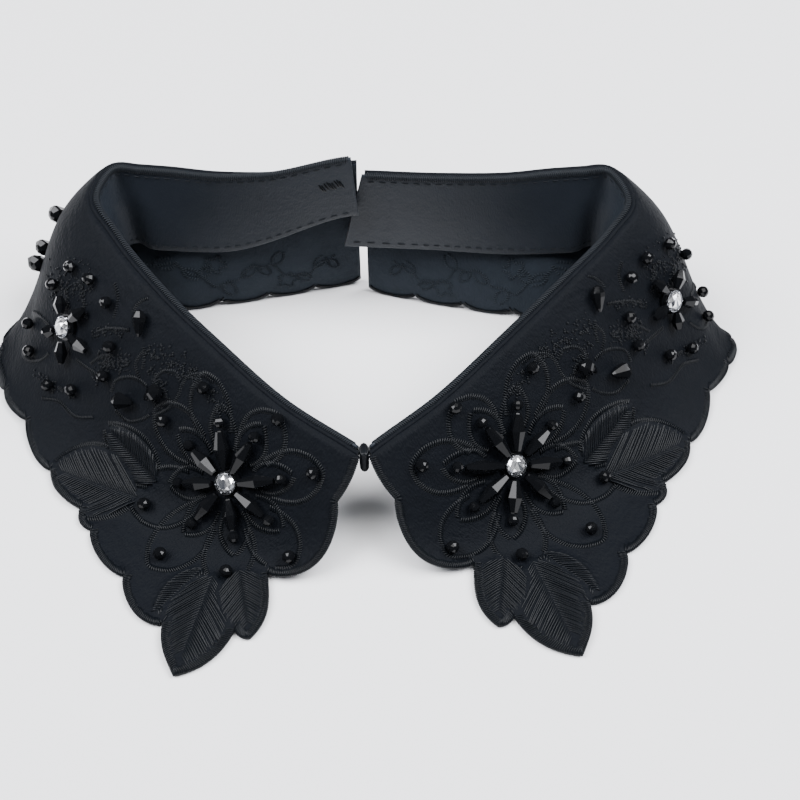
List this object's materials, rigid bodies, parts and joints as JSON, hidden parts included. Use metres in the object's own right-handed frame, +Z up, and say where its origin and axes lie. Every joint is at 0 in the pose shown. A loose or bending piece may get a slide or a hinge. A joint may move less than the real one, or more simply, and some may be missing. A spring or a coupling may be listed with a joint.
{
  "type": "detachable collar",
  "caption": "Black detachable collar of mirrored scalloped embroidered leaves with beaded flowers on an inner neck band, open at the back, standing as a ring on its hem.",
  "frame": {"origin": "centre of the bounding box's underside, on the table the collar stands on", "axes": "+Z up, -Y towards the front points, X across the mirrored halves with +X on the wearer's left"},
  "size_m": [0.2298, 0.1457, 0.0601],
  "materials": {
    "leaf_satin": "matt black satin with satin-stitch embroidery",
    "band_satin": "smooth black satin",
    "thread": "black embroidery thread",
    "hook_steel": "plain",
    "jet_glass": "polished faceted black glass",
    "clear_stone": "foil-backed faceted stone in a claw cup"
  },
  "bodies": {
    "root": {"leaf_left": "leaf_satin", "leaf_right": "leaf_satin", "band_left": "band_satin", "band_right": "band_satin", "front_bar": "thread", "back_hook": "hook_steel", "front_flower_left": "jet_glass", "front_flower_right": "jet_glass", "shoulder_flower_left": "jet_glass", "shoulder_flower_right": "jet_glass", "front_stone_left": "clear_stone", "front_stone_right": "clear_stone", "shoulder_stone_left": "clear_stone", "shoulder_stone_right": "clear_stone"}
  },
  "joints": []
}
